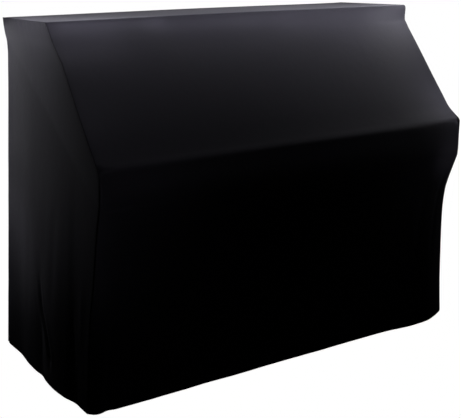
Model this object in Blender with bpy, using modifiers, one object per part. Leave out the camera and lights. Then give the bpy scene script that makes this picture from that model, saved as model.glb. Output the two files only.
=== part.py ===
"""Fitted cover for an upright piano: four sewn cloth panels, hanging as they do with the piano inside.

Every panel is a thin sheet. Heights are measured up from the hem, depths forward from the piano's
back and widths from its left end. The frame's origin is under the cloth at the middle of the lid.
"""

import math
from collections import namedtuple

import bmesh
import bpy
import numpy as np

# Driving dimensions, in metres
PIANO_WIDTH = 1.510
LID_DEPTH = 0.394
LID_THICKNESS = 0.052
LID_CROWN = 0.003  # the cloth lies this much proud along the middle of the lid
LID_FRONT_RISE = 0.0040  # the lid's front edge stands this much above its back edge
LID_END_RISE = 0.0010  # and the cloth is this much higher again at both ends
LID_END_REACH = 0.2  # of the lid's width
LID_NOSE = 0.007  # radius of the cloth over the lid's front edge
TOP_HEIGHT = 1.215
KEYBED_UNDER = 0.671
KEYBED_DEPTH = 0.716
CLOTH = 0.002
SEAM_GAP = 0.0006

# The hem stands off the piano, and falls in towards the corners
BACK_FLARE_FROM = 0.95  # the back panel hangs straight above this height
SIDE_FLARE_FROM = 1.138  # and so do the side panels, at their back edges
BACK_HEM_OUT = 0.048
BACK_CORNER_IN = 0.020
BACK_CORNER_WIDTH = 0.10
LEFT_CORNER_WIDTH = 0.05
RIGHT_CORNER_WIDTH = 0.13
SLOPE_CORNER_WIDTH = 0.30  # above the key-bed, at both ends
CORNER_POWER = 1.6

# Mesh steps
LARGEST_ROW_STEP = 0.062
NOSE_STEPS = 3
LID_STEPS = 5
FRONT_COLUMNS = 26
SIDE_COLUMNS = 16
BACK_COLUMNS = 20
BACK_ROWS = 12
COLUMN_CROWDING = 0.75  # 0 spaces a wide panel's columns evenly, 1 packs them at its two ends

CLOTH_COLOUR = (0.010, 0.010, 0.012, 1.0)
CLOTH_ROUGHNESS = 0.85

# Depth of the front at each height: at the two seams, and beside them
FrontRow = namedtuple("FrontRow", "height left_seam left right right_seam")
FRONT_ROWS = (
    FrontRow(1.200, 0.4010, 0.4005, 0.3995, 0.3960),  # just under the lid's front edge
    FrontRow(1.182, 0.4130, 0.4135, 0.4120, 0.3960),
    FrontRow(1.163, 0.4240, 0.4270, 0.4255, 0.3990),
    FrontRow(1.148, 0.4320, 0.4380, 0.4365, 0.4130),
    FrontRow(1.130, 0.4450, 0.4510, 0.4495, 0.4290),
    FrontRow(1.096, 0.4760, 0.4765, 0.4750, 0.4600),
    FrontRow(0.997, 0.5490, 0.5510, 0.5500, 0.5390),
    FrontRow(0.886, 0.6370, 0.6375, 0.6370, 0.6280),
    FrontRow(0.842, 0.6720, 0.6725, 0.6720, 0.6650),
    FrontRow(0.817, 0.6940, 0.6940, 0.6940, 0.7000),
    FrontRow(0.805, 0.7050, 0.7055, 0.7055, 0.7165),
    FrontRow(0.797, 0.7110, 0.7115, 0.7115, 0.7205),
    FrontRow(0.789, 0.7145, 0.7150, 0.7150, 0.7205),  # round the key-bed's upper edge
    FrontRow(0.778, 0.7155, 0.7160, 0.7165, 0.7205),
    FrontRow(0.739, 0.7150, 0.7155, 0.7165, 0.7200),
    FrontRow(0.700, 0.7125, 0.7140, 0.7160, 0.7205),
    FrontRow(0.671, 0.7085, 0.7120, 0.7145, 0.7190),  # the key-bed's lower edge
    FrontRow(0.649, 0.7035, 0.7095, 0.7115, 0.7110),
    FrontRow(0.604, 0.6955, 0.7035, 0.7055, 0.6920),
    FrontRow(0.551, 0.689, 0.696, 0.699, 0.671),
    FrontRow(0.516, 0.686, 0.691, 0.696, 0.660),
    FrontRow(0.420, 0.676, 0.683, 0.692, 0.647),
    FrontRow(0.300, 0.657, 0.673, 0.690, 0.643),
    FrontRow(0.157, 0.652, 0.667, 0.690, 0.642),
    FrontRow(0.000, 0.651, 0.664, 0.690, 0.647),
)

# How far the lid holds the cloth out past the ends of the piano, at each height
LidPoint = namedtuple("LidPoint", "height out")
LID_ENDS = (
    LidPoint(1.215, 0.0145),
    LidPoint(1.191, 0.0127),
    LidPoint(1.163, 0.0092),
    LidPoint(1.134, 0.0036),
    LidPoint(1.095, 0.0000),
)

# How far the hem stands out from each end of the piano, at each depth
HemPoint = namedtuple("HemPoint", "depth out")
LEFT_HEM = (
    HemPoint(-0.04, 0.048),
    HemPoint(0.00, 0.0560),
    HemPoint(0.10, 0.0525),
    HemPoint(0.21, 0.0592),
    HemPoint(0.31, 0.0588),
    HemPoint(0.42, 0.0616),
    HemPoint(0.50, 0.0545),
    HemPoint(0.55, 0.0420),
    HemPoint(0.65, 0.036),
)
RIGHT_HEM = (
    HemPoint(-0.04, 0.038),
    HemPoint(0.02, 0.046),
    HemPoint(0.15, 0.047),
    HemPoint(0.27, 0.055),
    HemPoint(0.38, 0.047),
    HemPoint(0.50, 0.046),
    HemPoint(0.65, 0.022),
)

# A fold runs from its top down to the hem, growing deeper. place is a depth on a side panel, and a
# width from the left on the front and the back. out is positive for a ridge, negative for a trough.
Fold = namedtuple("Fold", "top_place top_height hem_place out half_width")
LEFT_FOLDS = (
    Fold(0.285, 0.460, 0.312, -0.0048, 0.030),
    Fold(0.540, 0.360, 0.570, -0.0022, 0.022),
)
RIGHT_FOLDS = (
    Fold(0.300, 0.480, 0.330, -0.0060, 0.028),
    Fold(0.520, 0.300, 0.500, -0.0035, 0.024),
)
FRONT_FOLDS = (
    Fold(0.112, 0.600, 0.062, -0.0070, 0.020),
    Fold(0.046, 0.520, 0.026, 0.0040, 0.022),
    Fold(1.320, 0.560, 1.370, 0.0150, 0.100),
)
BACK_FOLDS = (
    Fold(0.420, 0.620, 0.400, 0.0090, 0.075),
    Fold(0.980, 0.560, 1.020, 0.0075, 0.085),
)


def smooth_curve(places, values):
    """A function through the given points that never swings past them (a monotone cubic)."""
    order = np.argsort(places)
    x, y = np.asarray(places, float)[order], np.asarray(values, float)[order]
    step, slope = np.diff(x), np.diff(y) / np.diff(x)
    tangent = np.zeros(len(x))
    for i in range(1, len(x) - 1):
        if slope[i - 1] * slope[i] > 0:
            before, after = 2 * step[i] + step[i - 1], step[i] + 2 * step[i - 1]
            tangent[i] = (before + after) / (before / slope[i - 1] + after / slope[i])
    tangent[0], tangent[-1] = slope[0], slope[-1]

    def value(place):
        place = min(max(place, x[0]), x[-1])
        i = min(int(np.searchsorted(x, place, side="right")) - 1, len(step) - 1)
        t = (place - x[i]) / step[i]
        rise = t * t * (3 - 2 * t)
        ease_out = step[i] * t * (1 - t) ** 2
        ease_in = step[i] * t * t * (t - 1)
        return float(y[i] + (y[i + 1] - y[i]) * rise + tangent[i] * ease_out + tangent[i + 1] * ease_in)

    return value


def columns_of(rows, name):
    """The smooth curve of one column of a table whose first column is the place along it."""
    return smooth_curve([row[0] for row in rows], [getattr(row, name) for row in rows])


FRONT = {name: columns_of(FRONT_ROWS, name) for name in FrontRow._fields[1:]}
HEM_OUT = {"left": columns_of(LEFT_HEM, "out"), "right": columns_of(RIGHT_HEM, "out")}
lid_out = columns_of(LID_ENDS, "out")


def folds_out(folds, place, height):
    """How far a panel's folds move its cloth out at one point."""
    out = 0.0
    for fold in folds:
        down = (fold.top_height - height) / fold.top_height
        if down > 0:
            middle = fold.top_place + (fold.hem_place - fold.top_place) * down
            swell = down * (2 - down)
            out += fold.out * swell * math.exp(-(((place - middle) / fold.half_width) ** 2))
    return out


def near_edge(distance, width):
    """1 at a panel's edge, easing to 0 at this width in from it."""
    return max(0.0, 1 - distance / width) ** CORNER_POWER


def lid_crown(across, depth, height):
    """How far the cloth stands above a level lid, at a fraction of the way across."""
    share = max(0.0, height - TOP_HEIGHT + LID_THICKNESS) / LID_THICKNESS
    forward = min(max(depth / LID_DEPTH, 0.0), 1.0)
    end = max(0.0, 1 - min(across, 1 - across) / LID_END_REACH) ** 2
    return share * (LID_CROWN * math.sin(math.pi * across) + LID_FRONT_RISE * forward + LID_END_RISE * end)


def side_out(side, depth, height):
    """How far a side panel stands out from the end of the piano."""
    forward = min(max(depth / KEYBED_DEPTH, 0.0), 1.0)
    flare_from = SIDE_FLARE_FROM + (KEYBED_UNDER - SIDE_FLARE_FROM) * forward
    flare = max(0.0, 1 - height / flare_from)
    folds = LEFT_FOLDS if side == "left" else RIGHT_FOLDS
    return lid_out(height) + HEM_OUT[side](depth) * flare + folds_out(folds, depth, height)


def front_depth(width, from_left, height):
    """Depth of the front of the cover, at a distance from its left seam, where it is this wide."""
    left, right = FRONT["left"](height), FRONT["right"](height)
    left_width, right_width = LEFT_CORNER_WIDTH, RIGHT_CORNER_WIDTH
    if height > KEYBED_UNDER:
        left_width = right_width = SLOPE_CORNER_WIDTH
    depth = left + (right - left) * from_left / width
    depth += (FRONT["left_seam"](height) - left) * near_edge(from_left, left_width)
    depth += (FRONT["right_seam"](height) - right) * near_edge(width - from_left, right_width)
    return depth + folds_out(FRONT_FOLDS, from_left, height)


def back_out(width, from_left, height):
    """How far the back panel stands out behind the piano."""
    flare = max(0.0, 1 - height / BACK_FLARE_FROM)
    corner = near_edge(from_left, BACK_CORNER_WIDTH) + near_edge(width - from_left, BACK_CORNER_WIDTH)
    return (BACK_HEM_OUT - BACK_CORNER_IN * corner) * flare + folds_out(BACK_FOLDS, from_left, height)


def in_frame(across, depth, height):
    """A point given by its width from the piano's left end, depth and height, in the part's frame."""
    lid_inside = TOP_HEIGHT + LID_CROWN - CLOTH
    return across - PIANO_WIDTH / 2, LID_DEPTH / 2 - depth, height - lid_inside


def row_heights():
    """Heights of the panels' rows, from the hem to just under the lid's front edge."""
    heights = []
    known = sorted(row.height for row in FRONT_ROWS)
    for low, high in zip(known, known[1:]):
        steps = math.ceil((high - low) / LARGEST_ROW_STEP)
        heights += [low + (high - low) * i / steps for i in range(steps)]
    return heights + [known[-1]]


def nose_points():
    """Depth and height of the cloth round the lid's front edge, from below to the top."""
    points = []
    for i in range(NOSE_STEPS + 1):
        angle = math.pi / 2 * i / NOSE_STEPS
        depth = LID_DEPTH - LID_NOSE * (1 - math.cos(angle))
        points.append((depth, TOP_HEIGHT - LID_NOSE * (1 - math.sin(angle))))
    return points


def seam_line(side):
    """Depth and height of the seam between the long panel and a side panel, from hem to lid."""
    name = side + "_seam"
    return [(FRONT[name](height), height) for height in row_heights()] + nose_points()


def inset(line, distance):
    """The line moved inwards (back and down) by a distance, with mitred corners."""
    points = [np.array(point) for point in line]
    ways = [(b - a) / np.linalg.norm(b - a) for a, b in zip(points, points[1:])]
    ways = [ways[0], *ways, ways[-1]]
    moved = []
    for point, before, after in zip(points, ways, ways[1:]):
        normals = [np.array((-way[1], way[0])) for way in (before, after)]
        middle = normals[0] + normals[1]
        middle /= np.linalg.norm(middle)
        moved.append(point + middle * distance / float(middle @ normals[0]))
    return moved


def crowded(fraction):
    """A fraction of a panel's width, moved so that the columns lie closer together at its ends."""
    return fraction - COLUMN_CROWDING * math.sin(2 * math.pi * fraction) / (2 * math.pi)


def front_point(column, row):
    """The long panel, from the hem's left end up the front and over the lid to its back edge."""
    across = crowded(column / FRONT_COLUMNS)
    heights = row_heights()
    if row < len(heights):
        height = heights[row]
        left = side_out("left", FRONT["left_seam"](height), height)
        right = side_out("right", FRONT["right_seam"](height), height)
        width = PIANO_WIDTH + left + right
        depth = front_depth(width, across * width, height)
    else:
        row -= len(heights)
        depth, height = nose_points()[min(row, NOSE_STEPS)]
        if row > NOSE_STEPS:
            depth *= 1 - (row - NOSE_STEPS) / LID_STEPS
        left = lid_out(height)
        width = PIANO_WIDTH + 2 * left
    return across * width - left, depth, height + lid_crown(across, depth, height)


def side_point(side, column, row):
    """A side panel, from the back to the front seam, and from the hem to just under the lid's cloth."""
    front, height = SIDE_FRONT_EDGE[side][row]
    height = max(float(height), 0.0)
    back = CLOTH + SEAM_GAP - back_out(PIANO_WIDTH, 0.0, height)
    depth = back + (front - back) * column / SIDE_COLUMNS
    out = side_out(side, depth, height)
    height += lid_crown(0.0, depth, height)
    return (-out if side == "left" else PIANO_WIDTH + out), depth, height


def back_point(column, row):
    """The back panel, from the hem to just under the lid's cloth."""
    height = (TOP_HEIGHT - CLOTH - SEAM_GAP) * row / BACK_ROWS
    left, right = side_out("left", 0.0, height), side_out("right", 0.0, height)
    width = PIANO_WIDTH + left + right
    across = crowded(column / BACK_COLUMNS)
    from_left = width * across
    return from_left - left, -back_out(width, from_left, height), height + lid_crown(across, 0.0, height)


SIDE_FRONT_EDGE = {side: inset(seam_line(side), CLOTH + SEAM_GAP) for side in ("left", "right")}


def cloth_material():
    """Matt black cloth."""
    material = bpy.data.materials.new("black cloth")
    material.use_nodes = True
    surface = material.node_tree.nodes["Principled BSDF"]
    surface.inputs["Base Color"].default_value = CLOTH_COLOUR
    surface.inputs["Roughness"].default_value = CLOTH_ROUGHNESS
    surface.inputs["Metallic"].default_value = 0.0
    return material


def add_panel(name, columns, rows, point, left_to_right, collection):
    """A cloth panel: a grid laid over the points of point(column, row), thickened inwards.

    left_to_right says which way the columns run, seen from outside.
    """
    sheet = bmesh.new()
    bmesh.ops.create_grid(sheet, x_segments=columns, y_segments=rows, size=0.5)
    for vertex in sheet.verts:
        column = round((vertex.co.x + 0.5) * columns)
        row = round((vertex.co.y + 0.5) * rows)
        column = column if left_to_right else columns - column
        vertex.co = in_frame(*point(column, row))
    mesh = bpy.data.meshes.new(name)
    sheet.to_mesh(mesh)
    sheet.free()
    mesh.materials.append(cloth_material())
    mesh.shade_smooth()
    panel = bpy.data.objects.new(name, mesh)
    collection.objects.link(panel)
    thickness = panel.modifiers.new("Cloth thickness", "SOLIDIFY")
    thickness.thickness = CLOTH
    thickness.offset = -1.0
    thickness.use_even_offset = True
    return panel


def main():
    for old in list(bpy.data.objects):
        bpy.data.objects.remove(old, do_unlink=True)
    cover = bpy.data.collections.new("Piano cover")
    bpy.context.scene.collection.children.link(cover)
    front_rows = len(row_heights()) + NOSE_STEPS + LID_STEPS
    side_rows = len(SIDE_FRONT_EDGE["left"]) - 1
    add_panel("top_front_panel", FRONT_COLUMNS, front_rows, front_point, True, cover)
    add_panel(
        "left_side_panel", SIDE_COLUMNS, side_rows, lambda c, r: side_point("left", c, r), True, cover
    )
    add_panel(
        "right_side_panel", SIDE_COLUMNS, side_rows, lambda c, r: side_point("right", c, r), False, cover
    )
    add_panel("back_panel", BACK_COLUMNS, BACK_ROWS, back_point, False, cover)


main()
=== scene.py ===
"""Piano cover: four sewn cloth panels hanging over an upright piano, with their hem stitching and a studio.

Heights are measured up from the hem, depths forward from the piano's back and widths from its left end,
all in metres. in_frame() turns such a point into the part's own frame.
"""

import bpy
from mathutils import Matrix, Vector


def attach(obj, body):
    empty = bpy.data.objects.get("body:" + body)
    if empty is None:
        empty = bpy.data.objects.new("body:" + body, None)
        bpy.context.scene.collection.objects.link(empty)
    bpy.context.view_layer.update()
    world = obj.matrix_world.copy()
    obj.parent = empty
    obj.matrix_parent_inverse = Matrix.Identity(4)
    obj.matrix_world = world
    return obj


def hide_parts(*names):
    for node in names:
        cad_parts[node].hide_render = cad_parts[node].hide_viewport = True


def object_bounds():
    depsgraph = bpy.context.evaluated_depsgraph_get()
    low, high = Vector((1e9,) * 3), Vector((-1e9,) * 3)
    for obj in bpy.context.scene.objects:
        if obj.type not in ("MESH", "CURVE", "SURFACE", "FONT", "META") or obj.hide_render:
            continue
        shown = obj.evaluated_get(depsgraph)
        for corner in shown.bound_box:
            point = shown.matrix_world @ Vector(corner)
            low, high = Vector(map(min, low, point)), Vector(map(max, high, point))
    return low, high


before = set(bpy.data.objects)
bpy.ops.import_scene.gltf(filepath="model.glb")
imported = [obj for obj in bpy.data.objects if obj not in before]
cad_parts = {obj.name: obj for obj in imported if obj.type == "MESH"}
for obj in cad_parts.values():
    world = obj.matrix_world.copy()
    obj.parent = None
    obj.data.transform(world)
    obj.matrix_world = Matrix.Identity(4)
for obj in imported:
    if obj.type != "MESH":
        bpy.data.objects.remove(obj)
CAD_LOW, CAD_HIGH = [list(corner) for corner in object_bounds()]

import math
from collections import namedtuple

import bmesh
import bpy
import numpy as np
from mathutils import Matrix, Vector, noise

bl_info = {
    "name": "Piano cover",
    "version": (1, 0, 0),
    "blender": (4, 5, 0),
    "location": "3D View > Sidebar > Cover",
    "description": "Sews the cloth panels of a piano cover and sets up a plain studio round it",
    "category": "Object",
}

# ---------- the cut of the cover, in metres

LID_THICKNESS = 0.052
LID_CROWN = 0.003  # the cloth lies this much proud along the middle of the lid
LID_FRONT_RISE = 0.0040  # the lid's front edge stands this much above its back edge
LID_END_RISE = 0.0010  # and the cloth is this much higher again at both ends
LID_END_REACH = 0.2  # of the lid's width
LID_EDGE_DEPTH = 0.011  # the cloth turns over the lid's front edge within this depth
LID_EDGE_ROWS = 8
KEYBED_UNDER = 0.671  # height of the key-bed's underside

BACK_FLARE_FROM = 0.95  # the back panel hangs straight above this height
SIDE_FLARE_FROM = 1.138  # and so do the side panels, at their back edges
BACK_HEM_OUT = 0.048
BACK_CORNER_IN = 0.020  # the back's hem stands out less by this much at its corners
BACK_CORNER_WIDTH = 0.10
LEFT_CORNER_WIDTH = 0.05  # the front's depth goes over to its seam's within this width
RIGHT_CORNER_WIDTH = 0.13
SLOPE_CORNER_WIDTH = 0.30  # above the key-bed, at both ends
CORNER_POWER = 1.6

# Depth of the front at each height, at both seams and beside them
FrontRow = namedtuple("FrontRow", "height left_seam left right right_seam")
FRONT_ROWS = [FrontRow(*row) for row in (
    (1.200, 0.4010, 0.4005, 0.3995, 0.3960),  # just under the lid's front edge
    (1.182, 0.4130, 0.4135, 0.4120, 0.3960),
    (1.163, 0.4240, 0.4270, 0.4255, 0.3990),
    (1.148, 0.4320, 0.4380, 0.4365, 0.4130),
    (1.130, 0.4450, 0.4510, 0.4495, 0.4290),
    (1.096, 0.4760, 0.4765, 0.4750, 0.4600),
    (0.997, 0.5490, 0.5510, 0.5500, 0.5390),
    (0.886, 0.6370, 0.6375, 0.6370, 0.6280),
    (0.842, 0.6720, 0.6725, 0.6720, 0.6650),
    (0.817, 0.6940, 0.6940, 0.6940, 0.7000),
    (0.805, 0.7050, 0.7055, 0.7055, 0.7165),
    (0.797, 0.7110, 0.7115, 0.7115, 0.7205),
    (0.789, 0.7145, 0.7150, 0.7150, 0.7205),  # round the key-bed's upper edge
    (0.778, 0.7155, 0.7160, 0.7165, 0.7205),
    (0.739, 0.7150, 0.7155, 0.7165, 0.7200),
    (0.700, 0.7125, 0.7140, 0.7160, 0.7205),
    (0.671, 0.7085, 0.7120, 0.7145, 0.7190),  # the key-bed's lower edge
    (0.649, 0.7035, 0.7095, 0.7115, 0.7110),
    (0.604, 0.6955, 0.7035, 0.7055, 0.6920),
    (0.551, 0.689, 0.696, 0.699, 0.671),
    (0.516, 0.686, 0.691, 0.696, 0.660),
    (0.420, 0.676, 0.683, 0.692, 0.647),
    (0.300, 0.657, 0.673, 0.690, 0.643),
    (0.157, 0.652, 0.667, 0.690, 0.642),
    (0.000, 0.651, 0.664, 0.690, 0.647),
)]

# How far the lid holds the cloth out past the ends of the piano: (height, out)
LID_ENDS = ((1.215, 0.0145), (1.191, 0.0127), (1.163, 0.0092), (1.134, 0.0036), (1.095, 0.0))

# How far the hem stands out from each end of the piano: (depth, out)
HEM_ENDS = {
    "left": (
        (-0.04, 0.048), (0.0, 0.056), (0.10, 0.0525), (0.21, 0.0592), (0.31, 0.0588),
        (0.42, 0.0616), (0.50, 0.0545), (0.55, 0.042), (0.65, 0.036),
    ),
    "right": (
        (-0.04, 0.038), (0.02, 0.046), (0.15, 0.047), (0.27, 0.055), (0.38, 0.047),
        (0.50, 0.046), (0.65, 0.022),
    ),
}

# A fold runs from its top down to the hem, growing deeper: (place and height of its top, place at the
# hem, out, half width). A place is a depth on a side panel, and a width from the left on the front and
# the back. out is negative for a trough.
FOLDS = {
    "left": ((0.285, 0.46, 0.312, -0.0048, 0.03), (0.54, 0.36, 0.57, -0.0022, 0.022)),
    "right": ((0.3, 0.48, 0.33, -0.006, 0.028), (0.52, 0.3, 0.5, -0.0035, 0.024)),
    "front": (
        (0.112, 0.6, 0.062, -0.007, 0.02),
        (0.046, 0.52, 0.026, 0.004, 0.022),
        (1.32, 0.56, 1.37, 0.015, 0.1),
    ),
    "back": ((0.42, 0.62, 0.4, 0.009, 0.075), (0.98, 0.56, 1.02, 0.0075, 0.085)),
}

# A crease is a narrow line pressed into the cloth: (path, depth, half width). The path runs through
# (place, height) points from its faint upper end down. depth is negative for a ridge.
CREASES = {
    "left": (
        (((0.278, 0.385), (0.29, 0.303), (0.304, 0.24), (0.322, 0.207), (0.352, 0.175),
          (0.37, 0.14), (0.39, 0.105)), 0.0044, 0.0085),
        (((0.31, 0.25), (0.338, 0.19), (0.362, 0.15), (0.382, 0.105)), 0.005, 0.012),
        (((0.3, 0.17), (0.305, 0.124), (0.309, 0.08)), 0.0016, 0.006),
        (((0.536, 0.34), (0.541, 0.25), (0.552, 0.15)), 0.002, 0.0075),
        (((0.598, 0.44), (0.594, 0.33), (0.59, 0.24)), -0.0012, 0.015),
        (((0.43, 0.7), (0.4, 0.52), (0.39, 0.33)), 0.0009, 0.022),
        (((0.18, 0.64), (0.195, 0.42), (0.18, 0.2)), 0.0007, 0.024),
    ),
    "right": (
        (((0.3, 0.42), (0.318, 0.26), (0.326, 0.06)), 0.003, 0.0075),
        (((0.12, 0.3), (0.135, 0.18), (0.13, 0.05)), 0.0016, 0.01),
        (((0.56, 0.56), (0.53, 0.38), (0.505, 0.16)), 0.0018, 0.013),
        (((0.42, 0.72), (0.43, 0.52), (0.41, 0.33)), 0.0012, 0.02),
    ),
    "front": (
        (((0.0115, 0.786), (0.011, 0.75), (0.01, 0.7)), 0.003, 0.0035),
        (((0.106, 0.63), (0.104, 0.53), (0.104, 0.43), (0.088, 0.34), (0.07, 0.23),
          (0.062, 0.11)), 0.003, 0.007),
        (((0.034, 0.5), (0.04, 0.3), (0.034, 0.12)), -0.0016, 0.01),
        (((1.395, 0.6), (1.36, 0.42), (1.35, 0.18)), 0.003, 0.014),
        (((1.49, 0.64), (1.455, 0.48), (1.44, 0.3)), 0.0024, 0.012),
        (((0.52, 0.42), (0.535, 0.26), (0.528, 0.08)), 0.0016, 0.024),
        (((0.905, 0.38), (0.89, 0.23), (0.9, 0.06)), 0.0015, 0.026),
    ),
    "back": (
        (((0.5, 0.56), (0.48, 0.34), (0.47, 0.08)), 0.0028, 0.015),
        (((1.09, 0.48), (1.105, 0.3), (1.12, 0.06)), 0.0026, 0.015),
        (((0.16, 0.42), (0.175, 0.24), (0.165, 0.06)), 0.002, 0.013),
        (((0.74, 0.78), (0.725, 0.52), (0.735, 0.26)), 0.0014, 0.026),
        (((1.37, 0.5), (1.385, 0.3), (1.38, 0.08)), 0.002, 0.014),
    ),
}

# Where the key-bed's edge meets a seam the cloth is pulled in to a small dimple: (distance from the
# seam, height, depth, half width, half height)
KEYBED_DIMPLES = ((0.004, 0.797, 0.008, 0.011, 0.012), (0.026, 0.8, 0.0018, 0.016, 0.006))

# ---------- sizes and finishes


def a_length(name, description, default):
    """A length property, shown to a tenth of a millimetre."""
    return bpy.props.FloatProperty(
        name=name, description=description, default=default, unit="LENGTH", precision=4
    )


def a_colour(name, description, default):
    """A colour property."""
    return bpy.props.FloatVectorProperty(
        name=name, description=description, default=default, subtype="COLOR", size=3, min=0.0, max=1.0
    )


class CoverSizes(bpy.types.PropertyGroup):
    """Sizes of the cover."""

    piano_width: a_length("Piano width", "Width of the piano between its ends", 1.510)
    lid_depth: a_length("Lid depth", "Depth of the piano's closed lid", 0.394)
    keybed_depth: a_length("Key-bed depth", "Depth from the back to the key-bed's edge", 0.716)
    top_height: a_length("Top height", "Height of the cloth at the lid's ends", 1.215)
    cloth: a_length("Cloth", "Thickness of the cloth", 0.0014)
    seam_roll: a_length("Seam roll", "Radius of the cloth where it turns into a seam", 0.0030)
    hem: a_length("Hem", "Height of the turned hem", 0.018)
    stitch: a_length("Stitch", "Length of one stitch of the hem", 0.0036)
    thread: a_length("Thread", "Thickness of the sewing thread", 0.0006)


class CoverFinish(bpy.types.PropertyGroup):
    """Colours and finishes of the cover."""

    cloth_colour: a_colour("Cloth colour", "Colour of the cloth", (0.0141, 0.0129, 0.0209))
    sheen_colour: a_colour("Sheen colour", "Colour of the nap against the light", (0.88, 0.86, 1.0))
    thread_colour: a_colour("Thread colour", "Colour of the hem's stitches", (0.012, 0.012, 0.014))
    roughness: bpy.props.FloatProperty(
        name="Roughness", description="Roughness of the cloth", default=0.82, min=0.0, max=1.0
    )


def sizes():
    return bpy.context.scene.cover_sizes


def finish():
    return bpy.context.scene.cover_finish


# ---------- curves and small helpers


def smooth_curve(places, values):
    """A function through the given points that never swings past them (a monotone cubic)."""
    order = np.argsort(places)
    x, y = np.asarray(places, float)[order], np.asarray(values, float)[order]
    step, slope = np.diff(x), np.diff(y) / np.diff(x)
    tangent = np.zeros(len(x))
    for i in range(1, len(x) - 1):
        if slope[i - 1] * slope[i] > 0:
            before, after = 2 * step[i] + step[i - 1], step[i] + 2 * step[i - 1]
            tangent[i] = (before + after) / (before / slope[i - 1] + after / slope[i])
    tangent[0], tangent[-1] = slope[0], slope[-1]

    def value(place):
        place = np.clip(place, x[0], x[-1])
        i = np.clip(np.searchsorted(x, place, side="right") - 1, 0, len(step) - 1)
        t = (place - x[i]) / step[i]
        level = y[i] + (y[i + 1] - y[i]) * t * t * (3 - 2 * t)
        return level + step[i] * (tangent[i] * t * (1 - t) ** 2 + tangent[i + 1] * t * t * (t - 1))

    return value


front_at = {
    name: smooth_curve([row.height for row in FRONT_ROWS], [getattr(row, name) for row in FRONT_ROWS])
    for name in FrontRow._fields[1:]
}
hem_out = {side: smooth_curve(*zip(*points)) for side, points in HEM_ENDS.items()}
lid_out = smooth_curve(*zip(*LID_ENDS))


def eased(value):
    """0 below 0, 1 above 1, and a smooth step between."""
    t = np.clip(value, 0.0, 1.0)
    return t * t * (3 - 2 * t)


def step_between(value, start, end):
    """0 up to the start, 1 past the end, which may lie below it, and a smooth step between."""
    return eased((value - start) / (end - start))


def noise_at(across, up, across_size, up_size, layer):
    """Soft random values of about -1 to 1 over a panel, in lumps of these sizes."""
    across, up = np.broadcast_arrays(np.asarray(across, float), np.asarray(up, float))
    values = [
        noise.noise(Vector((a / across_size, b / up_size, layer)))
        for a, b in zip(across.ravel(), up.ravel())
    ]
    return np.array(values).reshape(across.shape)


def steps_between(stops):
    """Places from the first stop to the last. Each stop is (place, largest step up to the next one)."""
    places = []
    for (low, step), (high, _) in zip(stops, stops[1:]):
        count = math.ceil(abs(high - low) / step - 1e-6)  # rounding adds no step
        places += [low + (high - low) * i / count for i in range(count)]
    return np.array(places + [stops[-1][0]])


def in_frame(across, depth, height):
    """A point given by its width from the piano's left end, depth and height, in the part's frame."""
    size = sizes()
    points = np.stack(np.broadcast_arrays(across, depth, height), axis=-1)
    return points * (1, -1, 1) + (-size.piano_width / 2, size.lid_depth / 2, CAD_LOW[2])


# ---------- how the cloth hangs

FOLDS_FROM_SEAM = 0.015  # the front's folds ease out within this much of its left seam
CREASES_FROM_SEAM = 0.02  # and the creases of the ends and the back within this much of any seam
CREASE_FADE_IN = 0.45  # of a crease's length, from its upper end
CREASE_FADE_OUT = 0.25  # of its length, below its lower end
LIP_HEIGHT = 0.28  # of the crease's depth
LIP_PLACE, LIP_WIDTH = 2.2, 1.1  # of the crease's half width

# Soft random waves in loose cloth: (out, width, height, share left where the cloth is tight, layer).
# A layer picks the random values.
SLACK_WAVES = (
    (0.0022, 0.105, 0.46, 0.0, 0.0),
    (0.0012, 0.31, 0.27, 1.0, 7.3),
    (0.0006, 0.034, 0.085, 0.35, 3.1),
)
SLACK_LAYERS = {"front": 2.5, "left": 53.5, "right": 61.5, "back": 71.5}
SIDE_SLACK = {"left": 0.3, "right": 0.8}  # share of the unevenness
LOOSE_CLOTH = (1.02, 0.27)  # the cloth loosens from the first of these heights down to the second
LOOSE_SEAM = (0.80, 0.64)  # and so does a seam
SLACK_FROM_SEAM = 0.045

HEM_OUTWARD = 0.0009  # the turned hem stands out this much
HEM_EDGE = 0.003  # and its upper edge eases out over this height
HEM_FROM_SEAM = 0.010
STITCH_DROP = 0.003  # from the hem's upper edge down to its stitches
STITCH_PULL = 0.0006  # the stitches pull the cloth in this much
STITCH_PULL_HEIGHT = 0.0016


def folds_out(panel, place, height):
    """How far a panel's folds move its cloth out."""
    out = 0.0
    for top_place, top, hem_place, fold, half_width in FOLDS[panel]:
        down = np.maximum((top - height) / top, 0.0)
        middle = top_place + (hem_place - top_place) * down
        out = out + fold * down * (2 - down) * np.exp(-(((place - middle) / half_width) ** 2))
    return out


def creases_out(panel, place, height):
    """How far a panel's creases move its cloth out: a soft groove with a low lip on each side."""
    out = 0.0
    for path, depth, half_width in CREASES[panel]:
        places, heights = zip(*path)
        length = heights[0] - heights[-1]
        fade_in = eased((heights[0] - height) / (CREASE_FADE_IN * length))
        fade_out = eased((height - heights[-1]) / (CREASE_FADE_OUT * length) + 1)
        away = (place - smooth_curve(heights, places)(height)) / half_width
        lips = LIP_HEIGHT * np.exp(-(((np.abs(away) - LIP_PLACE) / LIP_WIDTH) ** 2))
        out = out - depth * fade_in * fade_out * (np.exp(-(away**2)) - lips)
    return out


def near_edge(distance, width):
    """1 at a panel's edge, easing to 0 at this width in from it."""
    return np.maximum(0.0, 1 - distance / width) ** CORNER_POWER


def lid_crown(across, depth, height):
    """How far the cloth stands above a level lid, at a fraction of the way across."""
    size = sizes()
    share = np.maximum(0.0, height - size.top_height + LID_THICKNESS) / LID_THICKNESS
    across = np.clip(across, 0, 1)
    end = np.maximum(0.0, 1 - np.minimum(across, 1 - across) / LID_END_REACH) ** 2
    forward = np.clip(depth / size.lid_depth, 0, 1)
    return share * (LID_CROWN * np.sin(math.pi * across) + LID_FRONT_RISE * forward + LID_END_RISE * end)


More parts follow.
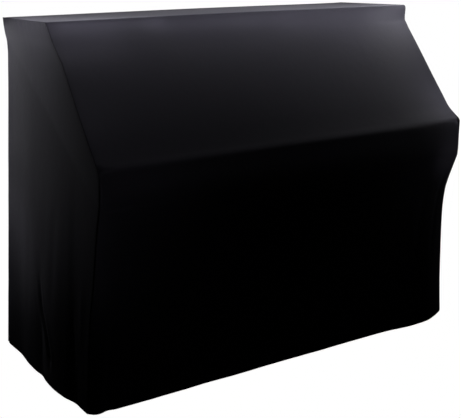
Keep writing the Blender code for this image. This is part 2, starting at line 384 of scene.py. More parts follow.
def side_out(side, depth, height):
    """How far a side panel stands out from the end of the piano."""
    forward = np.clip(depth / sizes().keybed_depth, 0.0, 1.0)
    flare_from = SIDE_FLARE_FROM + (KEYBED_UNDER - SIDE_FLARE_FROM) * forward
    flare = np.maximum(0.0, 1 - height / flare_from)
    return lid_out(height) + hem_out[side](depth) * flare + folds_out(side, depth, height)


def front_depth(width, from_left, height):
    """Depth of the front of the cover, at a distance from its left seam, where it is this wide."""
    left, right = front_at["left"](height), front_at["right"](height)
    above = height > KEYBED_UNDER
    left_width = np.where(above, SLOPE_CORNER_WIDTH, LEFT_CORNER_WIDTH)
    right_width = np.where(above, SLOPE_CORNER_WIDTH, RIGHT_CORNER_WIDTH)
    depth = left + (right - left) * from_left / width
    depth = depth + (front_at["left_seam"](height) - left) * near_edge(from_left, left_width)
    depth = depth + (front_at["right_seam"](height) - right) * near_edge(width - from_left, right_width)
    return depth + folds_out("front", from_left, height) * eased(from_left / FOLDS_FROM_SEAM)


def back_out(width, from_left, height):
    """How far the back panel stands out behind the piano."""
    flare = np.maximum(0.0, 1 - height / BACK_FLARE_FROM)
    corner = near_edge(from_left, BACK_CORNER_WIDTH) + near_edge(width - from_left, BACK_CORNER_WIDTH)
    return (BACK_HEM_OUT - BACK_CORNER_IN * corner) * flare + folds_out("back", from_left, height)


def slack(panel, place, height, from_seam):
    """The loose cloth's own unevenness: long soft waves that grow towards the hem, and small ones."""
    loose = step_between(height, *LOOSE_CLOTH)
    out = 0.0
    for wave, across, up, tight, layer in SLACK_WAVES:
        values = noise_at(place, height, across, up, SLACK_LAYERS[panel] + layer)
        out = out + wave * (tight + (1 - tight) * loose) * values
    return out * eased(from_seam / SLACK_FROM_SEAM)


def stitch_height():
    return sizes().hem - STITCH_DROP


def hem_turn(height, from_seam):
    """How far the turned hem stands out, with the groove that its stitches pull. It is flat in a seam."""
    turned = HEM_OUTWARD * (1 - eased((height - sizes().hem) / HEM_EDGE))
    pulled = STITCH_PULL * np.exp(-(((height - stitch_height()) / STITCH_PULL_HEIGHT) ** 2))
    return (turned - pulled) * eased(from_seam / HEM_FROM_SEAM)


def relief(panel, place, height, from_seam):
    """How far the creases and the hem of an end or the back move its cloth out."""
    creased = creases_out(panel, place, height) * eased(from_seam / CREASES_FROM_SEAM)
    return creased + hem_turn(height, from_seam)


# ---------- seams

SEAM_ALLOWANCE = 0.002  # what is left of the cloth past the stitches, inside the cover
SEAM_REACH = 0.012  # the cloth is moved by a seam up to this far from it
SEAM_TURN = math.radians(135)  # each panel turns this far, and then runs in beside its neighbour
SEAM_CLEARANCE = -0.0001  # below zero, the two panels press together
SEAM_UNEVEN, SEAM_LUMP = 0.28, 0.055  # a seam's roll varies by this share, in lumps of this length
TIGHT_SEAM = 0.15  # of the seam roll, where the cloth is pulled tight over the slope and the lid
SINK_WIDTH = 0.0078  # the cloth beside a seam sinks over this width
PROUD_WIDTH = 0.030  # or stands proud over this one
SQUARE_REACH = 1.15  # of the seam's reach

PUCKERS = ((0.0009, 0.016, 0), (0.00054, 0.041, 2))  # (out, width, layer past the panel's own)
PUCKER_LENGTH = 0.014  # they fade over this distance from the seam
PUCKER_START = (0.003, 0.009)  # and rise between these distances from it
PUCKER_LAYERS = (0.7, 1.9)  # past the seam's own, for its two panels

# Both panels of a seam read its row, so that they agree along it. roll is a share of the seam roll, where
# the cloth is loose. The cloth beside the seam sinks this far, or stands proud where sink is negative.
Seam = namedtuple("Seam", "layer roll sink")
SEAMS = {
    "left": Seam(11.5, 0.75, 0.0007),
    "right": Seam(23.5, 0.45, -0.0009),
    "back_left": Seam(31.5, 0.40, -0.0012),
    "back_right": Seam(37.5, 0.40, -0.0006),
    "back_top": Seam(43.5, 0.40, 0.0),
}

EDGE_DISTANCES = np.array((
    0.0, 0.0012, 0.0022, 0.0032, 0.0043, 0.0055, 0.0068, 0.0082, 0.0098, 0.0118, 0.0145, 0.018, 0.0225,
    0.028, 0.035,
))


def seam_roll_at(height, along, seam):
    """Radius of the cloth's turn into a seam: small where it is tight, and a little uneven along it."""
    loose = step_between(height, *LOOSE_SEAM)
    radius = sizes().seam_roll * (TIGHT_SEAM * (1 - loose) + seam.roll * loose)
    return radius * (1 + SEAM_UNEVEN * noise_at(along, 0.0, SEAM_LUMP, 1.0, seam.layer))


def seam_turn(distance, radius):
    """Where cloth at this distance from a square seam lies: (distance from the other panel, depth in)."""
    flat = distance * (SEAM_REACH + SEAM_ALLOWANCE) / SEAM_REACH - SEAM_ALLOWANCE
    flat = np.where(distance < SEAM_REACH, flat, distance)
    reach = (1 + math.sqrt(2)) * radius
    angle = np.clip(1 - flat / reach, 0.0, 1.0) * SEAM_TURN
    past = np.maximum(-flat, 0.0) * math.sqrt(0.5)
    in_plane = np.where(flat > reach, flat, math.sqrt(2) * radius + radius * (1 - np.sin(angle)) + past)
    depth = radius * (1 - np.cos(angle)) + past
    return in_plane + SEAM_CLEARANCE * eased(1 - flat / reach), depth


def puckers(along, distance, layer):
    """Small gathers that run away from a seam."""
    wave = sum(out * noise_at(along, 0.0, width, 1.0, layer + more) for out, width, more in PUCKERS)
    return wave * np.exp(-distance / PUCKER_LENGTH) * step_between(distance, *PUCKER_START)


def sewn_edge(distance, height, along, name, side):
    """How a seam moves a panel's cloth: (away from the seam, into the cover, out by puckers).

    The two panels of a seam take sides 0 and 1, which gives each its own puckers.
    """
    seam = SEAMS[name]
    in_plane, into = seam_turn(distance, seam_roll_at(height, along, seam))
    width = SINK_WIDTH if seam.sink > 0 else PROUD_WIDTH
    sink = seam.sink * np.exp(-((distance / width) ** 2))
    gathers = puckers(along, distance, seam.layer + PUCKER_LAYERS[side])
    # Both panels sink the same way along the corner's diagonal, so that the seam stays closed
    return in_plane - distance + sink, into, gathers - sink


def sewn_edges(*edges):
    """How several seams move a panel's cloth: (away from each seam in turn, out by all of them)."""
    shifts, into, gathers = zip(*(sewn_edge(*edge) for edge in edges))
    return *shifts, sum(gathers) - np.maximum.reduce(into)


def squared(distance):
    """1 at a seam, easing to 0 a little way from it: the cloth lies square to a seam beside it."""
    return eased(SQUARE_REACH - distance / SEAM_REACH)


def measured_across(from_left, from_right):
    """Where across a panel its depth is read, from the left: this lays it square to its seams."""
    return from_left * (1 - squared(from_left)) + from_right * squared(from_right)


def spread(width, middle_count):
    """Distances across a column of widths: fine at both ends, even between them."""
    edge = np.broadcast_to(EDGE_DISTANCES, (len(width), len(EDGE_DISTANCES)))
    inner = EDGE_DISTANCES[-1]
    middle = inner + (width - 2 * inner) * (np.arange(1, middle_count) / middle_count)
    return np.hstack([edge, middle, width - EDGE_DISTANCES[::-1]])


def hem_stops():
    """The first stops of a panel's rows, for steps_between: close together at the stitches."""
    return (0.0, 0.004), (stitch_height() - 0.002, 0.001), (sizes().hem + 0.004, 0.006)


# ---------- the long panel: front, slope and lid

FRONT_COLUMNS = 150
LOOSE_FRONT = (0.731, 0.651)  # the cloth is tight above the first of these heights
TIGHT_SLACK = 0.35  # share of the unevenness that is left there
SMOOTH_LID = (1.14, 1.20)  # between these heights the cloth grows smoother
SMOOTH_SHARE = 0.65
LEAN_HEIGHT = 0.006  # the slope under the lid's edge is read over this height
LID_EDGE_DROP = 0.0005  # the turn over the edge aims this far below the lid's top
OUT_OF_REACH = 1.0  # of any seam


def front_heights():
    """Heights of the long panel's rows, from the hem to just under the lid's front edge."""
    return steps_between((
        *hem_stops(), (0.05, 0.0115), (0.64, 0.0065), (0.70, 0.010), (0.77, 0.004), (0.786, 0.0022),
        (0.826, 0.005), (0.856, 0.012), (1.11, 0.006), (1.19, 0.0033), (FRONT_ROWS[0].height, 0.0),
    ))


def over_lid_edge(depth_at):
    """Depths and heights of the cloth's turn over the lid's front edge, one row after another.

    depth_at(height) gives the depth, or one depth for each column, of the cloth under the edge.
    """
    size = sizes()
    low = FRONT_ROWS[0].height
    start = depth_at(low)
    lean = (start - depth_at(low - LEAN_HEIGHT)) / LEAN_HEIGHT
    turn = size.top_height - LID_EDGE_DROP
    depths, heights = [], []
    for t in np.arange(1, LID_EDGE_ROWS + 1) / LID_EDGE_ROWS:
        shares = (1 - t) ** 2, 2 * t * (1 - t), t * t
        ends = start, start + lean * (turn - low), size.lid_depth - LID_EDGE_DEPTH
        depths.append(sum(share * end for share, end in zip(shares, ends)))
        heights.append(shares[0] * low + shares[1] * turn + shares[2] * size.top_height)
    return np.array(depths), np.array(heights)


def lid_depths():
    """Depths of the long panel's rows on the lid, from its front to its back edge."""
    back = EDGE_DISTANCES[::-1]
    middle = steps_between(((sizes().lid_depth - LID_EDGE_DEPTH, 0.0125), (back[0], 0.0)))[1:-1]
    return np.concatenate([middle, back])


def seam_profile(side):
    """Depths and heights along a seam of the long panel, from the hem to the lid's back edge."""
    heights = front_heights()
    edge_depths, edge_heights = over_lid_edge(front_at[side + "_seam"])
    lid = lid_depths()
    return (
        np.concatenate([front_at[side + "_seam"](heights), edge_depths, lid]),
        np.concatenate([heights, edge_heights, np.full(len(lid), sizes().top_height)]),
    )


def outward(depth, height):
    """The direction out of the cover, square to a profile, as (depth, height) for each of its points."""
    along = np.gradient(np.stack([depth, height]), axis=1)
    along = along / np.linalg.norm(along, axis=0)
    return along[1][:, None], -along[0][:, None]


def long_panel_points():
    """Points of the long panel's outer face and its flat coordinates, as [row, column]."""
    seam_depth, height = seam_profile("left")
    left = side_out("left", seam_depth, height)[:, None]
    right = side_out("right", seam_profile("right")[0], height)[:, None]
    width = sizes().piano_width + left + right
    from_left = spread(width, FRONT_COLUMNS)
    from_right = width - from_left
    from_seam = np.minimum(from_left, from_right)
    measured = measured_across(from_left, from_right)
    high = np.broadcast_to(height[:, None], from_left.shape)

    lid_start = len(height) - len(lid_depths())
    front_end = lid_start - LID_EDGE_ROWS
    top = front_end - 1
    depth = np.empty_like(from_left)
    depth[:front_end] = front_depth(width[:front_end], measured[:front_end], high[:front_end])
    depth[front_end:lid_start] = over_lid_edge(lambda at: front_depth(width[top], measured[top], at))[0]
    depth[lid_start:] = lid_depths()[:, None]

    # square to the middle's profile, so that one direction serves a whole row
    profile = depth[:, from_left.shape[1] // 2]
    out_depth, out_height = outward(profile, height)
    steps = np.hypot(np.diff(profile), np.diff(height))
    run = np.broadcast_to(np.append(0.0, np.cumsum(steps))[:, None], from_left.shape)

    loose = TIGHT_SLACK + (1 - TIGHT_SLACK) * step_between(high, *LOOSE_FRONT)
    out = slack("front", from_left, run, from_seam) * loose
    out = out + creases_out("front", from_left, high) + hem_turn(high, from_seam)
    for place, level, dimple, half_width, half_height in KEYBED_DIMPLES:
        for distance in (from_left, from_right):
            beside, above = (distance - place) / half_width, (high - level) / half_height
            out = out - dimple * np.exp(-(beside**2) - above**2)
    out = out * (1 - SMOOTH_SHARE * step_between(high, *SMOOTH_LID))

    # only the lid's rows come within reach of the seam along its back edge
    on_lid = np.arange(len(height)) >= lid_start
    from_back = np.broadcast_to(np.where(on_lid, seam_depth, OUT_OF_REACH)[:, None], from_left.shape)
    left_shift, right_shift, back_shift, seams_out = sewn_edges(
        (from_left, high, run, "left", 0),
        (from_right, high, run, "right", 0),
        (from_back, high, from_left, "back_top", 1),
    )
    out = out + seams_out
    x = from_left - left + left_shift - right_shift
    y = depth + out * out_depth + back_shift
    z = high + lid_crown(from_left / width, depth, high) + out * out_height
    return in_frame(x, y, z), np.stack([from_left - width / 2, run], axis=-1)


# ---------- the side panels

SIDE_COLUMNS = 84
ROW_GAP = 0.003  # at least, below the fine rows at the top
BEHIND = -0.05  # the seam's line goes on to this depth
HEM_ROOM = 0.004  # a seam moves no cloth from above this height to below it
ON_LINE = 1e-4  # a point nearer than this lies on the line


def nearest_on_line(points, line):
    """For each point: distance to the line, the unit way from the line to it, and how far along it is."""
    ways = np.diff(line, axis=0)
    lengths = np.linalg.norm(ways, axis=1)
    runs = np.append(0.0, np.cumsum(lengths))
    best = np.full(points.shape[:-1], np.inf)
    way = np.zeros_like(points)
    run = np.zeros(points.shape[:-1])
    for start, along, length, before in zip(line, ways, lengths, runs):
        t = np.clip(((points - start) @ along) / length**2, 0, 1)
        offset = points - (start + t[..., None] * along)
        distance = np.linalg.norm(offset, axis=-1)
        square = np.array((-along[1], along[0])) / length
        away = offset / np.maximum(distance, ON_LINE)[..., None]
        unit = np.where(distance[..., None] > ON_LINE, away, square)
        closer = distance < best
        best = np.where(closer, distance, best)
        way = np.where(closer[..., None], unit, way)
        run = np.where(closer, before + t * length, run)
    return best, way, run


def side_panel_points(side):
    """Points of a side panel's outer face and its flat coordinates, as [row, column] from the back."""
    size = sizes()
    edge = np.stack(seam_profile(side), axis=1)[:-len(lid_depths())]
    top_rows = size.top_height - EDGE_DISTANCES[::-1]
    low_rows = front_heights()
    heights = np.append(low_rows[low_rows < top_rows[0] - ROW_GAP], top_rows)[:, None]
    # under the lid's top the front of the panel follows the lid's rounded edge
    front = np.interp(heights, edge[:, 1], edge[:, 0])
    back = -back_out(size.piano_width, 0.0, heights)
    from_back = spread(front - back, SIDE_COLUMNS)
    depth = back + from_back
    high = np.broadcast_to(heights, depth.shape)
    line = np.vstack([edge, (BEHIND, size.top_height)])
    distance, way, run = nearest_on_line(np.stack([depth, high], axis=-1), line)

    from_seam = np.minimum(distance, from_back)
    measured = depth + (front - depth) * squared(distance) + (back - depth) * squared(from_back)
    out = side_out(side, measured, high)
    out = out + slack(side, depth, high, from_seam) * SIDE_SLACK[side]
    out = out + relief(side, depth, high, from_seam)
    shift, back_shift, seams_out = sewn_edges(
        (distance, high, run, side, 1),
        (from_back, high, high, "back_" + side, 1),
    )
    out = out + seams_out
    x = -out if side == "left" else size.piano_width + out
    y = depth + shift * way[..., 0] + back_shift
    z = np.maximum(high + shift * way[..., 1], np.minimum(high, HEM_ROOM)) + lid_crown(0.0, depth, high)
    return in_frame(x, y, z), np.stack([depth, high], axis=-1)


# ---------- the back panel

BACK_COLUMNS = 120


def back_panel_points():
    """Points of the back panel's outer face and its flat coordinates, as [row, column]."""
    size = sizes()
    top_rows = size.top_height - EDGE_DISTANCES[::-1]
    low_rows = steps_between((*hem_stops(), (0.05, 0.0125), (top_rows[0], 0.01)))[:-1]
    heights = np.append(low_rows, top_rows)[:, None]
    left, right = side_out("left", 0.0, heights), side_out("right", 0.0, heights)
    width = size.piano_width + left + right
    from_left = spread(width, BACK_COLUMNS)
    from_right = width - from_left
    high = np.broadcast_to(heights, from_left.shape)
    from_top = size.top_height - high
    from_seam = np.minimum(np.minimum(from_left, from_right), from_top)
    out = back_out(width, measured_across(from_left, from_right), high)
    out = out + slack("back", from_left, high, from_seam)
    out = out + relief("back", from_left, high, from_seam)
    left_shift, right_shift, down, seams_out = sewn_edges(
        (from_left, high, high, "back_left", 0),
        (from_right, high, high, "back_right", 0),
        (from_top, high, from_left, "back_top", 0),
    )
    out = out + seams_out
    x = from_left - left + left_shift - right_shift
    z = high + lid_crown(from_left / width, 0.0, high) - down
    return in_frame(x, -out, z), np.stack([from_left - width / 2, high], axis=-1)


# ---------- making the pieces

STITCH_PITCH = 1.12  # of a stitch's length
STITCH_MARGIN = 0.008  # the stitches end this far from the panel's ends
STITCH_AHEAD = 0.002  # the cloth's direction is taken over this length
THREAD_FLATTENED = 0.8  # of the thread's thickness


def as_object(shape, name, material):
    """Makes a bmesh into a smooth object of one material."""
    mesh = bpy.data.meshes.new(name)
    shape.to_mesh(mesh)
    shape.free()
    mesh.shade_smooth()
    mesh.materials.append(material)
    made = bpy.data.objects.new(name, mesh)
    bpy.context.scene.collection.objects.link(made)
    return made


def sew_panel(name, solid, points, flat, left_to_right):
    """A cloth panel that stands for its solid: a grid laid over points[row, column], thickened inwards.

    left_to_right says which way the columns run, seen from outside.
    """
    rows, columns = points.shape[0] - 1, points.shape[1] - 1
    sheet = bmesh.new()
    sheet.loops.layers.uv.new("cloth")
    bmesh.ops.create_grid(sheet, x_segments=columns, y_segments=rows, size=0.5, calc_uvs=True)
    panel = as_object(sheet, name, cloth_material())
    mesh = panel.data
    place = np.empty(len(mesh.vertices) * 3)
    mesh.vertices.foreach_get("co", place)
    place = place.reshape(-1, 3)
    column = np.rint((place[:, 0] + 0.5) * columns).astype(int)
    row = np.rint((place[:, 1] + 0.5) * rows).astype(int)
    column = column if left_to_right else columns - column
    mesh.vertices.foreach_set("co", points[row, column].ravel())
    corner = np.empty(len(mesh.loops), int)
    mesh.loops.foreach_get("vertex_index", corner)
    mesh.uv_layers["cloth"].data.foreach_set("uv", flat[row, column][corner].ravel())
    mesh.update()
    thickness = panel.modifiers.new("Cloth thickness", "SOLIDIFY")
    thickness.thickness = sizes().cloth
    thickness.offset = -1.0
    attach(panel, "root")
    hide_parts(solid)
    return panel


def stitch_line(points, name):
    """The stitches of a panel's hem: a row of small threads lying on its outer face."""
    size = sizes()
    heights = points[:, points.shape[1] // 2, 2] - CAD_LOW[2]
    row = int(np.argmin(np.abs(heights - stitch_height())))
    line, rise = points[row], points[row + 1] - points[row - 1]
    run = np.append(0.0, np.cumsum(np.linalg.norm(np.diff(line, axis=0), axis=1)))

    def at_run(values, place):
        return Vector([np.interp(place, run, values[:, axis]) for axis in range(3)])

    pitch = size.stitch * STITCH_PITCH
    shape = Matrix.Diagonal((size.stitch, size.thread, size.thread * THREAD_FLATTENED, 1))
    threads = bmesh.new()
    for i in range(int((run[-1] - 2 * STITCH_MARGIN) / pitch)):
        place = STITCH_MARGIN + (i + 0.5) * pitch
        spot = at_run(line, place)
        along = (at_run(line, place + STITCH_AHEAD) - spot).normalized()
        up = at_run(rise, place).normalized()
        turned = Matrix((along, up, along.cross(up).normalized())).transposed().to_4x4()
        matrix = Matrix.Translation(spot) @ turned @ shape
        bmesh.ops.create_icosphere(threads, subdivisions=1, radius=0.5, matrix=matrix)
    stitches = as_object(threads, name, thread_material())
    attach(stitches, "root")
    return stitches


# ---------- materials


class Socket:
    """A node's output, on which Python's operators add Math nodes."""

    def __init__(self, material, output):
        self.material = material
        self.output = output

    def maths(self, operation, *values):
        return self.material.node("ShaderNodeMath", enumerate(values), operation=operation)["Value"]

    def __add__(self, other):
        return self.maths("ADD", self, other)

    def __mul__(self, other):
        return self.maths("MULTIPLY", self, other)

    def sine(self):
        return self.maths("SINE", self)


class Material:
    """A material and the one way in which its nodes are made."""

    def __init__(self, name):
        self.data = bpy.data.materials.new(name)
        self.data.use_nodes = True
        self.tree = self.data.node_tree
        self.surface = self.tree.nodes["Principled BSDF"]

    def node(self, kind, inputs=(), **settings):
        """Adds a node with the values or links of its sockets and its settings, and returns its outputs."""
        made = self.tree.nodes.new(kind)
        for key, value in settings.items():
            setattr(made, key, value)
        for key, value in dict(inputs).items():
            self.feed(made.inputs[key], value)
        return {output.name: Socket(self, output) for output in made.outputs if output.enabled}

    def feed(self, socket, value):
        if isinstance(value, Socket):
            self.tree.links.new(value.output, socket)
        else:
            socket.default_value = value

    def set_surface(self, **inputs):
        for key, value in inputs.items():
            self.feed(self.surface.inputs[key.replace("_", " ")], value)


WEAVE_PITCH = 0.0011  # two yarns, in metres
DARK_SHADE = 0.80  # the cloth's darkest shade, beside its colour
ROUGHNESS_SPREAD = 0.08  # the roughness varies within this much, about its middle
MIX_FACTOR, MIX_DARK, MIX_LIGHT = 0, 6, 7  # sockets of a Mix node that is set to colours


def cloth_material():
    """Smooth matt black cloth: a fine plain weave, faintly uneven in shade, with a cool sheen."""
    known = bpy.data.materials.get("black cover cloth")
    if known:
        return known
    cloth = Material("black cover cloth")
    look = finish()
    flat = cloth.node("ShaderNodeUVMap", uv_map="cloth")["UV"]
    place = cloth.node("ShaderNodeTexCoord")["Object"]
    parts = cloth.node("ShaderNodeSeparateXYZ", {"Vector": flat})
    turn = 2 * math.pi / WEAVE_PITCH
    weave = (parts["X"] * turn).sine() * (parts["Y"] * turn).sine()
    shade = cloth.node("ShaderNodeTexNoise", {"Vector": place, "Scale": 5.0, "Detail": 3.0})["Fac"]
    crumple = cloth.node("ShaderNodeTexNoise", {"Vector": place, "Scale": 42.0, "Detail": 3.0})["Fac"]
    colour = tuple(look.cloth_colour)
    darker = tuple(DARK_SHADE * channel for channel in colour)
    mixed = {MIX_FACTOR: shade, MIX_DARK: darker + (1.0,), MIX_LIGHT: colour + (1.0,)}
    threads = {"Strength": 0.12, "Distance": 0.00012, "Height": weave}
    fine = cloth.node("ShaderNodeBump", threads)["Normal"]
    crumples = {"Strength": 0.35, "Distance": 0.0012, "Height": crumple, "Normal": fine}
    cloth.set_surface(
        Base_Color=cloth.node("ShaderNodeMix", mixed, data_type="RGBA")["Result"],
        Roughness=shade * ROUGHNESS_SPREAD + (look.roughness - ROUGHNESS_SPREAD / 2),
        Sheen_Weight=0.20,
        Sheen_Roughness=0.42,
        Sheen_Tint=tuple(look.sheen_colour) + (1.0,),
        Specular_IOR_Level=0.22,
        Normal=cloth.node("ShaderNodeBump", crumples)["Normal"],
    )
    return cloth.data


def thread_material():
    """Black sewing thread, twisted."""
    known = bpy.data.materials.get("black hem thread")
    if known:
        return known
    thread = Material("black hem thread")
    place = thread.node("ShaderNodeTexCoord")["Object"]
    twist = thread.node("ShaderNodeTexNoise", {"Vector": place, "Scale": 2600.0, "Detail": 1.0})["Fac"]
    twists = {"Strength": 0.3, "Distance": 0.0001, "Height": twist}
    thread.set_surface(
        Base_Color=tuple(finish().thread_colour) + (1.0,),
        Roughness=0.5,
        Specular_IOR_Level=0.3,
        Normal=thread.node("ShaderNodeBump", twists)["Normal"],
    )
    return thread.data


def glowing_white():
    """White that glows evenly, so that no shadow falls on it."""
    white = Material("white floor")
    white.tree.nodes.remove(white.surface)
    glow = white.node("ShaderNodeEmission", {"Color": WHITE, "Strength": 1.0})["Emission"]
    white.feed(white.tree.nodes["Material Output"].inputs["Surface"], glow)
    return white.data


# ---------- operators


class COVER_OT_long_panel(bpy.types.Operator):
    """Sews the long panel: lower front, key-bed, slope and lid in one piece"""

    bl_idname = "cover.long_panel"
    bl_label = "Front and lid"

    def execute(self, context):
        points, flat = long_panel_points()
        panel = sew_panel("front_and_lid_cloth", "top_front_panel", points, flat, True)
        stitches = stitch_line(points, "front_hem_stitches")
        return {"FINISHED"}


class COVER_OT_side_panels(bpy.types.Operator):
    """Sews the two side panels"""

    bl_idname = "cover.side_panels"
    bl_label = "Sides"

    def execute(self, context):
        for side in ("left", "right"):
            points, flat = side_panel_points(side)
            panel = sew_panel(side + "_side_cloth", side + "_side_panel", points, flat, side == "left")
            stitches = stitch_line(points, side + "_hem_stitches")
        return {"FINISHED"}


class COVER_OT_back_panel(bpy.types.Operator):
    """Sews the back panel"""

    bl_idname = "cover.back_panel"
    bl_label = "Back"

    def execute(self, context):
        points, flat = back_panel_points()
        panel = sew_panel("back_cloth", "back_panel", points, flat, False)
        stitches = stitch_line(points, "back_hem_stitches")
        return {"FINISHED"}


# ---------- the studio

CAMERA_PLACE = (-1.8367, -2.8487, 0.1963)
CAMERA_YAW = math.radians(31.88)  # turned this far from straight ahead towards the right
CAMERA_PITCH = math.radians(12.15)  # looking down
CAMERA_ROLL = math.radians(-0.54)
CAMERA_LENS = 69.61
CAMERA_SHIFT = (0.0558, -0.1282)
FLOOR_SIZE = 60.0
FLOOR_GAP = 0.0005
WHITE = (1.0, 1.0, 1.0, 1.0)

# Each light lights one panel only, with its stitches. power is in watts, and spread in degrees.
Light = namedtuple("Light", "name place aim width height power spread", defaults=(180,))
LONG_LIGHTS = [Light(*row) for row in (
    ("high rear", (0, 1.5, 1.6), (0.5, -0.3, -0.2), 0.3, 0.3, 2),
    ("slope right", (0.9, -0.3, 0.1), (0.7, -0.38, -0.25), 0.15, 0.15, 1.5),
    ("lid middle", (0.05, -0.3, 0.1), (0.05, -0.2, -0.02), 0.9, 0.1, 1.08),
    ("lid left", (-0.86, -0.05, 0.06), (-0.78, 0, 0), 0.05, 0.3, 0.551),
    ("lid near left", (-0.65, -0.6, 0.3), (-0.65, -0.2, -0.02), 0.4, 0.1, 0.488),
    ("wide beam right", (0.45, -0.9, 0.5), (0.45, -0.24, -0.06), 0.8, 0.06, 0.35, 60),
    ("lid far left", (-0.7, -0.28, 0.05), (-0.7, -0.22, -0.05), 0.4, 0.06, 0.315),
    ("lid front right", (0.6, -0.36, 0), (0.6, -0.19, -0.02), 0.4, 0.05, 0.287),
    ("slope low right", (0.78, -0.52, -0.28), (0.7, -0.45, -0.34), 0.12, 0.12, 0.208),
    ("lid front beam", (0.45, -0.5, 0.02), (0.45, -0.19, -0.02), 0.7, 0.05, 0.13, 40),
    ("slope top left", (-0.55, -0.225, 0.01), (-0.55, -0.205, -0.02), 0.4, 0.01, 0.0818),
    ("near far right", (0.66, -0.26, 0), (0.66, -0.205, -0.03), 0.22, 0.01, 0.0741),
    ("lid edge right", (0.7, -0.24, 0.02), (0.7, -0.2, -0.005), 0.16, 0.01, 0.03),
    ("key-bed corner", (0.8, -0.62, -0.4), (0.74, -0.52, -0.45), 0.12, 0.12, 0.046),
    ("near right", (0.25, -0.245, 0), (0.25, -0.205, -0.04), 0.65, 0.01, 0.0424),
    ("above slope", (-0.45, -0.4, 0.08), (-0.45, -0.21, -0.04), 0.5, 0.02, 0.0387),
    ("front left", (-0.6, -0.8, -0.45), (-0.72, -0.52, -0.52), 0.12, 0.12, 0.033),
    ("slope top beam", (-0.1, -0.6, -0.02), (-0.1, -0.205, -0.02), 0.6, 0.02, 0.0315, 15),
    ("slope top middle", (-0.2, -0.235, -0.01), (-0.2, -0.205, -0.02), 0.5, 0.01, 0.0288),
    ("front seam", (-0.82, -0.6, -0.62), (-0.74, -0.5, -0.62), 0.06, 0.5, 0.0271),
    ("key-bed front", (-0.1, -0.6, -0.46), (-0.1, -0.52, -0.46), 1.2, 0.03, 0.0108),
    ("slope low left", (-0.85, -0.6, -0.15), (-0.74, -0.42, -0.28), 0.1, 0.1, 0.00827, 60),
    ("under key-bed", (0.95, -1.2, -0.45), (0.72, -0.5, -0.56), 0.06, 0.06, 0.00771, 15),
    ("front right beam", (1.2, -1.3, -0.4), (0.72, -0.5, -0.62), 0.1, 0.1, 0.00451, 30),
    ("key-bed beam", (-0.1, -0.9, -0.46), (-0.1, -0.52, -0.46), 1.2, 0.03, 0.0035, 20),
)]
END_LIGHTS = [Light(*row) for row in (
    ("top front", (-0.86, -0.05, 0.03), (-0.78, -0.05, -0.05), 0.3, 0.03, 0.341),
    ("back strip", (-0.84, 0.21, -0.25), (-0.77, 0.18, -0.25), 0.03, 0.5, 0.102),
    ("low beam", (-1.7, 1.2, -0.4), (-0.8, 0.15, -0.5), 0.3, 0.3, 0.101, 30),
    ("back edge near", (-0.84, 0.24, -0.1), (-0.8, 0.2, -0.16), 0.02, 0.2, 0.0807),
    ("back edge top", (-0.815, 0.32, -0.15), (-0.8, 0.25, -0.15), 0.02, 0.25, 0.0646),
    ("back edge", (-0.815, 0.32, -0.35), (-0.8, 0.25, -0.35), 0.02, 0.75, 0.0561),
    ("middle beam", (-1.3, 0.6, -0.2), (-0.8, 0.18, -0.7), 0.1, 0.1, 0.0486, 25),
    ("top", (-0.88, 0.1, -0.02), (-0.78, 0.1, -0.12), 0.1, 0.1, 0.0272),
    ("far beam", (-1.5, 0.9, -0.2), (-0.8, 0.15, -0.62), 0.1, 0.1, 0.0213, 25),
    ("rear low", (-0.9, 0.22, -0.95), (-0.8, 0.17, -0.95), 0.05, 0.25, 0.0184),
    ("corner", (-0.85, -0.2, -0.03), (-0.79, -0.19, -0.03), 0.03, 0.03, 0.0157),
)]
BACK_LIGHTS = [Light(*row) for row in (
    ("back high", (0, 0.6, 0.3), (0, 0.2, -0.2), 1.2, 0.2, 6),
    ("back low beam", (-0.9, 1.8, 0.1), (-0.2, 0.2, -0.5), 0.5, 0.5, 1.2, 60),
)]


def at_end(light, end, way):
    """A light of the left end, at either end of the cover: way is -1 at the right."""
    place, aim = ((way * point[0], *point[1:]) for point in (light.place, light.aim))
    return light._replace(name=end + " " + light.name, place=place, aim=aim)


LIGHTS = {
    ("front_and_lid_cloth", "front_hem_stitches"): LONG_LIGHTS,
    ("left_side_cloth", "left_hem_stitches"): [at_end(light, "left", 1) for light in END_LIGHTS],
    ("right_side_cloth", "right_hem_stitches"): [at_end(light, "right", -1) for light in END_LIGHTS],
    ("back_cloth", "back_hem_stitches"): BACK_LIGHTS,
}


def camera():
    """The camera, at the picture's viewing angle."""
    data = bpy.data.cameras.new("camera")
    data.lens = CAMERA_LENS
    data.shift_x, data.shift_y = CAMERA_SHIFT
    turns = (-CAMERA_YAW, "Z"), (math.radians(90) - CAMERA_PITCH, "X"), (CAMERA_ROLL, "Z")
    yaw, pitch, roll = (Matrix.Rotation(turn, 4, axis) for turn, axis in turns)
    made = bpy.data.objects.new("camera", data)
    made.matrix_world = Matrix.Translation(CAMERA_PLACE) @ yaw @ pitch @ roll
    bpy.context.scene.collection.objects.link(made)
    bpy.context.scene.camera = made


def add_light(light, pieces):
    """A soft rectangular light that lights only these pieces and that the camera doesn't see."""
    data = bpy.data.lights.new(light.name, "AREA")
    data.shape = "RECTANGLE"
    data.size, data.size_y = light.width, light.height
    data.spread = math.radians(light.spread)
    data.energy = light.power
    lamp = bpy.data.objects.new(light.name, data)
    lit = bpy.data.collections.new("lit by " + light.name)
    for name in pieces:
        lit.objects.link(bpy.data.objects[name])
    lamp.light_linking.receiver_collection = lit
    way = Vector(light.aim) - Vector(light.place)
    lamp.matrix_world = Matrix.Translation(light.place) @ way.to_track_quat("-Z", "Y").to_matrix().to_4x4()
    lamp.visible_camera = False
    bpy.context.scene.collection.objects.link(lamp)


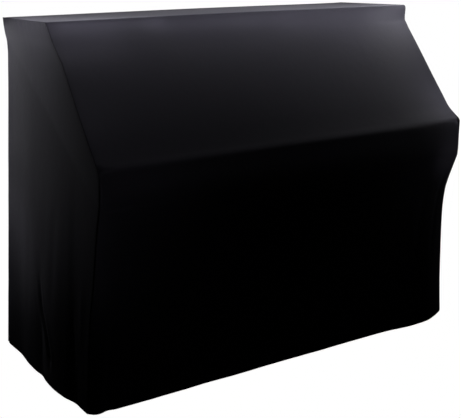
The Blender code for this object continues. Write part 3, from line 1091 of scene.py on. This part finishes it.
def floor():
    """A plain white floor at the hem."""
    ground = bmesh.new()
    level = Matrix.Translation((0, 0, CAD_LOW[2] - FLOOR_GAP))
    bmesh.ops.create_grid(ground, x_segments=1, y_segments=1, size=FLOOR_SIZE / 2, matrix=level)
    made = as_object(ground, "floor", glowing_white())
    made.visible_diffuse = False
    made.visible_glossy = False


def white_surroundings():
    """A world that is white to the camera and lights nothing."""
    world = bpy.data.worlds.new("white surroundings")
    world.use_nodes = True
    tree = world.node_tree
    path = tree.nodes.new("ShaderNodeLightPath")
    background = tree.nodes["Background"]
    background.inputs["Color"].default_value = WHITE
    tree.links.new(path.outputs["Is Camera Ray"], background.inputs["Strength"])
    bpy.context.scene.world = world


class COVER_OT_studio(bpy.types.Operator):
    """Sets up the floor, the lights and the camera"""

    bl_idname = "cover.studio"
    bl_label = "Studio"

    def execute(self, context):
        camera()
        floor()
        white_surroundings()
        for pieces, lights in LIGHTS.items():
            for light in lights:
                add_light(light, pieces)
        context.scene.view_settings.view_transform = "Standard"
        return {"FINISHED"}


class COVER_PT_panel(bpy.types.Panel):
    """Lists the cover's sizes, finishes and operators"""

    bl_idname = "COVER_PT_panel"
    bl_label = "Piano cover"
    bl_space_type = "VIEW_3D"
    bl_region_type = "UI"
    bl_category = "Cover"

    def draw(self, context):
        for group in (context.scene.cover_sizes, context.scene.cover_finish):
            for name in group.__annotations__:
                self.layout.prop(group, name)
        for operator in OPERATORS:
            self.layout.operator(operator.bl_idname)


OPERATORS = (COVER_OT_long_panel, COVER_OT_side_panels, COVER_OT_back_panel, COVER_OT_studio)
CLASSES = (CoverSizes, CoverFinish, *OPERATORS, COVER_PT_panel)


def register():
    for one in CLASSES:
        bpy.utils.register_class(one)
    bpy.types.Scene.cover_sizes = bpy.props.PointerProperty(type=CoverSizes)
    bpy.types.Scene.cover_finish = bpy.props.PointerProperty(type=CoverFinish)


def unregister():
    del bpy.types.Scene.cover_finish
    del bpy.types.Scene.cover_sizes
    for one in reversed(CLASSES):
        bpy.utils.unregister_class(one)


def main():
    register()
    bpy.ops.cover.long_panel()
    bpy.ops.cover.side_panels()
    bpy.ops.cover.back_panel()
    bpy.ops.cover.studio()


if __name__ == "__main__":
    main()
